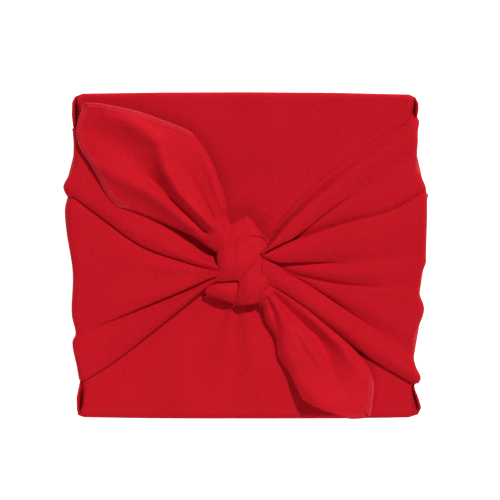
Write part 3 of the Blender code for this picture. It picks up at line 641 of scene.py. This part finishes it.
knotTurns = {
    "knotBack": {
        "near": [(-19.4, 4.4, 9.4), (-20.2, 6.6, 8.8), (-19.5, 9, 7.6)],
        "far": [(15.8, 7.8, 9.6), (16.8, 8.4, 7.5), (17.2, 9.4, 5)],
        "left": [(-19.4, 4.4, 9.4), (-15, 7.6, 10.8), (-8, 10.5, 11.6), (-1, 12.5, 12.2), (6, 13.4, 12.0),
                 (12, 12.2, 11.0), (15.8, 7.8, 9.6)],
        "right": [(-19.5, 9, 7.6), (-11.4, 20.0, 8.2), (-5, 24.2, 7.6), (0.8, 26.8, 7), (5.8, 22.7, 6.5),
                  (11.2, 15.4, 6), (17.2, 9.4, 5)],
        "crown": (1.4, 0.5, 0.5), "rims": {"right": (1.4, 150, 7), "left": (0.7, 150, 5)}, "grid": (50, 26),
        "folds": [{"path": [(8, 14), (4, 18), (1, 25)], "width": (2.2, 2.2, 2.2), "depth": (0.2, 1.0, 1.4)},
                  {"path": [(-14, 10), (-9, 17)], "width": (2.0, 2.0, 2.0), "depth": (-0.2, -0.6, -0.2)}],
    },
    "knotLowerLeft": {
        "near": [(-27.2, -28.8, 4.6), (-28.0, -26, 6.0), (-26.8, -22, 6.2), (-24, -18, 5.4)],
        "far": [(-6, -34.5, 4.8), (-5.0, -29, 7.6), (-3.5, -22, 9.0), (-2, -17, 9.2)],
        "left": [(-27.2, -28.8, 4.6), (-21, -30.0, 6.0), (-14, -32.2, 6.0), (-6, -34.5, 4.8)],
        "right": [(-24, -18, 5.4), (-16, -18.5, 7.6), (-9, -18, 9.0), (-2, -17, 9.2)],
        "crown": (1.6, 0.5, 0.3), "rims": {"left": (1.8, 150, 6), "near": (1.2, 120, 5)}, "grid": (34, 34),
        "folds": [{"path": [(-24, -22), (-16, -24.5), (-8, -26)], "width": (2.4, 2.4, 2.4),
                   "depth": (0.3, 0.7, 0.2)}],
    },
    "knotLowerRight": {
        "near": [(4, 2, 10), (10, 3, 10), (15, 3, 7.5)],
        "far": [(-7.2, -34.6, 5.5), (-1, -35.0, 7), (6, -34.6, 6.5), (10.5, -33.0, 5)],
        "left": [(4, 2, 10), (-1, -8, 11), (-4.2, -18, 11), (-6.2, -27, 9), (-7.2, -34.6, 5.5)],
        "right": [(15, 3, 7.5), (17, -5, 8.0), (17.8, -13, 7.5), (17.5, -21, 7), (14, -27.5, 6),
                  (10.5, -33.0, 5)],
        "crown": (3.6, 0.3, 0.4), "rims": {"right": (1.4, 150, 7), "far": (1.8, 140, 6),
                                           "left": (1.8, 130, 6)},
        "grid": (54, 38),
        "folds": [{"path": [(13, -8), (14.5, -17), (12, -26)], "width": (2.0, 2.0, 2.0),
                   "depth": (0.1, 0.6, 0.2)},
                  {"path": [(3, -12), (1, -22), (0, -33)], "width": (2.0, 2.6, 2.6),
                   "depth": (0.2, 0.8, -0.4)}],
    },
    "knotMain": {
        "near": [(-19.6, 6, 7.6), (-15, 10.4, 8.4), (-8, 13.4, 9.0), (-1, 15.4, 9.4), (6, 16.0, 9.0),
                 (12, 14.0, 8.2), (15.8, 8.4, 8.0)],
        "far": [(-24.4, -17.8, 7.2), (-19, -18.7, 9.4), (-12, -18.2, 11.2), (-4.4, -17.2, 13.0)],
        "left": [(-19.6, 6, 8.0), (-19.8, -3, 10.8), (-18.8, -10.5, 11.2), (-20.6, -15, 9.4),
                 (-24.4, -17.8, 7.2)],
        "right": [(15.8, 8.4, 8.0), (14, 4.4, 10.8), (7.2, -4.2, 13.2), (1.6, -10.8, 13.8),
                  (-4.4, -17.2, 12.6)],
        "crown": (3.6, 0.6, 0.4),
        "rims": {"right": (1.0, 150, 6), "left": (1.4, 140, 6), "far": (1.0, 140, 5)},
        "grid": (60, 50),
        "folds": [{"path": [(13, 7), (6, 3), (-2, -5)], "width": (1.6, 1.6, 1.6),
                   "depth": (-0.5, -0.3, 0.0)},
                  {"path": [(-17, -12), (-10, -8), (-3, 2)], "width": (2.2, 2.2, 2.2),
                   "depth": (-0.5, -0.3, 0.0)},
                  {"path": [(-14, 6), (-13, -6), (-17, -16)], "width": (3.0, 3.0, 3.0),
                   "depth": (0.3, 0.6, 0.4)},
                  {"path": [(-4, 10), (-4, -4), (-9, -17)], "width": (2.4, 3.0, 2.0),
                   "depth": (0.2, 0.7, 0.2)}],
    },
}

clothLook = {
    "panelTones": ((0.500, 0.0035, 0.0105), (0.610, 0.0062, 0.0175)),
    # the knot's and free ends' tones are the wrap's cloth painted lighter: painted light for the brighter
    # light their raised folds catch
    "tieTonesPaintedLighter": ((0.530, 0.0042, 0.0118), (0.650, 0.0074, 0.0198)),
    "roughness": 0.86,
    "sheen": 0.06,
    "sheenRoughness": 0.4,
    "sheenTint": (1.0, 0.12, 0.16, 1.0),
    "specular": 0.12,
    "panelTurn": 40,          # of the ribs, in degrees
    "tieTurn": -47,
    "ribs": 540.0,            # diagonal ribs to the metre
    "ribHeight": 0.00022,
    "hemWidth": 0.0042,
    "hemPitch": 0.0021,       # from stitch to stitch
    "hemHeight": 0.0006,
    "hemRed": (0.680, 0.022, 0.042),
    "hemLip": (0.760, 0.050, 0.085),
}
cardLook = {
    "pale": (0.62, 0.55, 0.44),
    "dark": (0.50, 0.43, 0.33),
    "roughness": 0.75,
    "lines": 420.0,
    "lineTone": 0.08,
    "fibres": 900.0,
    "fibreDetail": 4.0,
    "fibreHeight": 0.0001,
}
weaveLook = {                 # scales are in ribs
    "wanderScale": 0.14,
    "wanderReach": (2.4, 2.4, 0.0),
    "crossPitch": 0.8,
    "gritScale": 0.8,
    "gritDetail": 3.0,
    "broadScale": 0.05,
    "ribShare": 0.12,
    "broadTone": 0.9,
    "gritTone": 1.5,
    "toneShift": -0.7,
    "ribTone": 0.9,
}
hemLook = {                   # gain and base of each mask
    "edgeGain": 6.0,          # how sharply the hem ends
    "edgeBlend": 0.2,
    "slant": 0.45,
    "patchScale": 420.0,
    "patches": (1.6, -0.1),
    "mask": (0.8, 0.12),
    "lipGain": 4.0,
    "lip": (1.2, 0.2),
    "height": (0.7, 0.5),
}


def addSocket(group, name, kind, inOut, default=None):
    socket = group.interface.new_socket(name=name, in_out=inOut, socket_type=kind)
    if default is not None:
        socket.default_value = default


def maths(tree, operation, *values):
    # one math node; each value is a number or another node's output
    node = tree.nodes.new("ShaderNodeMath")
    node.operation = operation
    for socket, value in zip(node.inputs, values):
        if isinstance(value, bpy.types.NodeSocket):
            tree.links.new(value, socket)
        else:
            socket.default_value = value
    return node.outputs[0]


def noiseAt(tree, vector, scale, detail=2.0):
    node = tree.nodes.new("ShaderNodeTexNoise")
    node.inputs["Scale"].default_value = scale
    node.inputs["Detail"].default_value = detail
    tree.links.new(vector, node.inputs["Vector"])
    return node


def twillWeave():
    # diagonal ribs crossed by fine threads, with uneven twist: a height and a tone mask
    group = bpy.data.node_groups.new("twillWeave", "ShaderNodeTree")
    addSocket(group, "Vector", "NodeSocketVector", "INPUT")
    addSocket(group, "Ribs", "NodeSocketFloat", "INPUT", 500.0)
    addSocket(group, "Turn", "NodeSocketFloat", "INPUT", 0.0)
    addSocket(group, "Height", "NodeSocketFloat", "OUTPUT")
    addSocket(group, "Tone", "NodeSocketFloat", "OUTPUT")
    nodes, links = group.nodes, group.links
    entry, leave = nodes.new("NodeGroupInput"), nodes.new("NodeGroupOutput")
    turn = nodes.new("ShaderNodeVectorRotate")
    turn.rotation_type = "Z_AXIS"
    links.new(entry.outputs["Vector"], turn.inputs["Vector"])
    links.new(entry.outputs["Turn"], turn.inputs["Angle"])
    scaled = nodes.new("ShaderNodeVectorMath")
    scaled.operation = "SCALE"
    links.new(turn.outputs["Vector"], scaled.inputs[0])
    links.new(entry.outputs["Ribs"], scaled.inputs["Scale"])
    wander = noiseAt(group, scaled.outputs["Vector"], weaveLook["wanderScale"])
    shaken = nodes.new("ShaderNodeVectorMath")
    shaken.operation = "MULTIPLY_ADD"
    shaken.inputs[1].default_value = weaveLook["wanderReach"]
    links.new(wander.outputs["Color"], shaken.inputs[0])
    links.new(scaled.outputs["Vector"], shaken.inputs[2])
    split = nodes.new("ShaderNodeSeparateXYZ")
    links.new(shaken.outputs["Vector"], split.inputs["Vector"])
    rib = maths(group, "SINE", maths(group, "MULTIPLY", split.outputs["X"], math.tau))
    pick = maths(group, "SINE", maths(group, "MULTIPLY", split.outputs["Y"],
                                      math.tau * weaveLook["crossPitch"]))
    grit = noiseAt(group, scaled.outputs["Vector"], weaveLook["gritScale"],
                   weaveLook["gritDetail"]).outputs["Fac"]
    broad = noiseAt(group, scaled.outputs["Vector"], weaveLook["broadScale"]).outputs["Fac"]
    crossed = maths(group, "MULTIPLY_ADD", maths(group, "MULTIPLY", rib, pick), weaveLook["ribShare"],
                    maths(group, "MULTIPLY", rib, weaveLook["ribShare"]))
    links.new(maths(group, "ADD", crossed, grit), leave.inputs["Height"])
    gritty = maths(group, "MULTIPLY_ADD", grit, weaveLook["gritTone"], weaveLook["toneShift"])
    uneven = maths(group, "MULTIPLY_ADD", broad, weaveLook["broadTone"], gritty)
    links.new(maths(group, "MULTIPLY_ADD", crossed, weaveLook["ribTone"], uneven), leave.inputs["Tone"])
    return group


def overlockHem():
    # a sewn edge: slanted stitches across it and a bright lip along it
    group = bpy.data.node_groups.new("overlockHem", "ShaderNodeTree")
    addSocket(group, "Vector", "NodeSocketVector", "INPUT")
    addSocket(group, "Width", "NodeSocketFloat", "INPUT", 0.004)
    addSocket(group, "Pitch", "NodeSocketFloat", "INPUT", 0.002)
    addSocket(group, "Mask", "NodeSocketFloat", "OUTPUT")
    addSocket(group, "Lip", "NodeSocketFloat", "OUTPUT")
    addSocket(group, "Height", "NodeSocketFloat", "OUTPUT")
    nodes, links = group.nodes, group.links
    entry, leave = nodes.new("NodeGroupInput"), nodes.new("NodeGroupOutput")
    split = nodes.new("ShaderNodeSeparateXYZ")
    links.new(entry.outputs["Vector"], split.inputs["Vector"])
    along, inward = split.outputs["X"], split.outputs["Y"]
    share = maths(group, "DIVIDE", inward, entry.outputs["Width"])
    inside = maths(group, "MULTIPLY", maths(group, "SUBTRACT", 1.0, share), hemLook["edgeGain"])
    inside = maths(group, "SMOOTH_MIN", 1.0, inside, hemLook["edgeBlend"])
    inside = maths(group, "MAXIMUM", inside, 0.0)
    slanted = maths(group, "MULTIPLY_ADD", inward, hemLook["slant"], along)
    slanted = maths(group, "DIVIDE", slanted, entry.outputs["Pitch"])
    wave = maths(group, "SINE", maths(group, "MULTIPLY", slanted, math.tau))
    patchy = noiseAt(group, entry.outputs["Vector"], hemLook["patchScale"]).outputs["Fac"]
    stitch = maths(group, "MULTIPLY", maths(group, "MULTIPLY_ADD", wave, 0.5, 0.5),
                   maths(group, "MULTIPLY_ADD", patchy, *hemLook["patches"]))
    mask = maths(group, "MULTIPLY", inside, maths(group, "MULTIPLY_ADD", stitch, *hemLook["mask"]))
    links.new(mask, leave.inputs["Mask"])
    lip = maths(group, "SUBTRACT", 1.0, maths(group, "MULTIPLY", share, hemLook["lipGain"]))
    lip = maths(group, "MAXIMUM", 0.0, lip)
    lip = maths(group, "MULTIPLY", lip, maths(group, "MULTIPLY_ADD", patchy, *hemLook["lip"]))
    links.new(lip, leave.inputs["Lip"])
    raised = maths(group, "MULTIPLY", inside, maths(group, "MULTIPLY_ADD", stitch, *hemLook["height"]))
    links.new(raised, leave.inputs["Height"])
    return group


def uvNode(tree, name):
    node = tree.nodes.new("ShaderNodeUVMap")
    node.uv_map = name
    return node.outputs["UV"]


def mixed(tree, factor, first, second):
    node = tree.nodes.new("ShaderNodeMix")
    node.data_type = "RGBA"
    tree.links.new(factor, node.inputs["Factor"])
    for socket, colour in zip(("A", "B"), (first, second)):
        if isinstance(colour, bpy.types.NodeSocket):
            tree.links.new(colour, node.inputs[socket])
        else:
            node.inputs[socket].default_value = (*colour, 1.0)
    return node.outputs["Result"]


def bumped(tree, height, distance, normal=None):
    node = tree.nodes.new("ShaderNodeBump")
    node.inputs["Strength"].default_value = 1.0
    node.inputs["Distance"].default_value = distance
    tree.links.new(height, node.inputs["Height"])
    if normal is not None:
        tree.links.new(normal, node.inputs["Normal"])
    return node.outputs["Normal"]


def clothMaterial(name, weave, turn, tones, hem=None):
    material = bpy.data.materials.new(name)
    material.use_nodes = True
    tree = material.node_tree
    shader = tree.nodes["Principled BSDF"]
    shader.inputs["Roughness"].default_value = clothLook["roughness"]
    shader.inputs["Sheen Weight"].default_value = clothLook["sheen"]
    shader.inputs["Sheen Roughness"].default_value = clothLook["sheenRoughness"]
    shader.inputs["Sheen Tint"].default_value = clothLook["sheenTint"]
    shader.inputs["Specular IOR Level"].default_value = clothLook["specular"]
    threads = tree.nodes.new("ShaderNodeGroup")
    threads.node_tree = weave
    threads.inputs["Ribs"].default_value = clothLook["ribs"]
    threads.inputs["Turn"].default_value = turn
    tree.links.new(uvNode(tree, "cloth"), threads.inputs["Vector"])
    colour = mixed(tree, threads.outputs["Tone"], *tones)
    normal = bumped(tree, threads.outputs["Height"], clothLook["ribHeight"])
    if hem is not None:
        sewn = tree.nodes.new("ShaderNodeGroup")
        sewn.node_tree = hem
        sewn.inputs["Width"].default_value = clothLook["hemWidth"]
        sewn.inputs["Pitch"].default_value = clothLook["hemPitch"]
        tree.links.new(uvNode(tree, "hem"), sewn.inputs["Vector"])
        colour = mixed(tree, sewn.outputs["Mask"], colour, clothLook["hemRed"])
        colour = mixed(tree, sewn.outputs["Lip"], colour, clothLook["hemLip"])
        normal = bumped(tree, sewn.outputs["Height"], clothLook["hemHeight"], normal)
    tree.links.new(colour, shader.inputs["Base Color"])
    tree.links.new(normal, shader.inputs["Normal"])
    return material


def cardMaterial():
    # plain greyboard, with fibres and the faint lines of its rollers
    material = bpy.data.materials.new("boxCard")
    material.use_nodes = True
    tree = material.node_tree
    shader = tree.nodes["Principled BSDF"]
    shader.inputs["Roughness"].default_value = cardLook["roughness"]
    where = tree.nodes.new("ShaderNodeTexCoord").outputs["Object"]
    fibres = noiseAt(tree, where, cardLook["fibres"], cardLook["fibreDetail"]).outputs["Fac"]
    split = tree.nodes.new("ShaderNodeSeparateXYZ")
    tree.links.new(where, split.inputs["Vector"])
    lines = maths(tree, "SINE", maths(tree, "MULTIPLY", split.outputs["X"], cardLook["lines"]))
    tone = maths(tree, "MULTIPLY_ADD", lines, cardLook["lineTone"], fibres)
    tree.links.new(mixed(tree, tone, cardLook["dark"], cardLook["pale"]), shader.inputs["Base Color"])
    tree.links.new(bumped(tree, fibres, cardLook["fibreHeight"]), shader.inputs["Normal"])
    return material


weave = twillWeave()
hem = overlockHem()
panelCloth = clothMaterial("panelCloth", weave, math.radians(clothLook["panelTurn"]),
                           clothLook["panelTones"])
# the same cloth as the wrap, its colour painted lighter to stand for the light on the knot and the free
# ends
tieClothPaintedLighter = clothMaterial("tieClothPaintedLighter", weave, math.radians(clothLook["tieTurn"]), clothLook["tieTonesPaintedLighter"], hem)

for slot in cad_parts["box"].material_slots:
    slot.material = cardMaterial()

wrap = makeWrap(panelCloth)
thicken(wrap)
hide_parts("cloth")
print("wrap made")

tied = [makePatch(name, spec, tieClothPaintedLighter) for name, spec in knotTurns.items()]
print("knot tied")
tied.append(makePatch("largeEnd", largeEnd, tieClothPaintedLighter))
tied.append(makePatch("smallEnd", smallEnd, tieClothPaintedLighter))
for piece in tied:
    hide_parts("cloth")
print("free ends laid")

studio = {
    "cameraHeight": 1.45,
    "viewWidth": 0.350,      # across the picture at the parcel's front
    "lookX": 0.00315,
    "lookY": 0.0035,
    "sky": 0.185,
    "floorSize": 6.0,
    "floorTone": (0.93, 0.93, 0.93, 1.0),
    "floorRoughness": 0.9,
    "floorSpecular": 0.1,
    "floorGlow": 0.90,       # keeps the floor white in the shade
    "film": 36.0,
    "aim": (0.0, 0.0, 0.05),
    "lights": (              # name, place, size and power
        ("keyLight", (1.70, 3.05, 4.10), 0.60, 218.0),
        ("fillLight", (-0.16, -0.55, 0.62), 0.55, 1.8),
    ),
}


def makeStudio():
    scene = bpy.context.scene
    bpy.ops.mesh.primitive_plane_add(size=studio["floorSize"], location=(0.0, 0.0, 0.0))
    floor = bpy.context.object
    floor.name = "floor"
    material = bpy.data.materials.new("paleFloor")
    material.use_nodes = True
    shader = material.node_tree.nodes["Principled BSDF"]
    shader.inputs["Base Color"].default_value = studio["floorTone"]
    shader.inputs["Roughness"].default_value = studio["floorRoughness"]
    shader.inputs["Specular IOR Level"].default_value = studio["floorSpecular"]
    shader.inputs["Emission Color"].default_value = (1.0, 1.0, 1.0, 1.0)
    shader.inputs["Emission Strength"].default_value = studio["floorGlow"]
    floor.data.materials.append(material)

    data = bpy.data.cameras.new("camera")
    camera = bpy.data.objects.new("camera", data)
    scene.collection.objects.link(camera)
    height = studio["cameraHeight"]
    data.sensor_width = studio["film"]
    data.lens = studio["film"] * (height - face * mm) / studio["viewWidth"]
    camera.location = (studio["lookX"], studio["lookY"], height)
    scene.camera = camera

    world = bpy.data.worlds.new("studio")
    world.use_nodes = True
    sky = world.node_tree.nodes["Background"]
    sky.inputs["Color"].default_value = (1.0, 1.0, 1.0, 1.0)
    sky.inputs["Strength"].default_value = studio["sky"]
    scene.world = world

    for name, place, size, power in studio["lights"]:
        light = bpy.data.lights.new(name, "AREA")
        light.shape = "DISK"
        light.size = size
        light.energy = power
        lamp = bpy.data.objects.new(name, light)
        lamp.location = place
        lamp.rotation_euler = (Vector(studio["aim"]) - Vector(place)).to_track_quat("-Z", "Y").to_euler()
        scene.collection.objects.link(lamp)
    scene.view_settings.view_transform = "Standard"


makeStudio()
print("studio made")
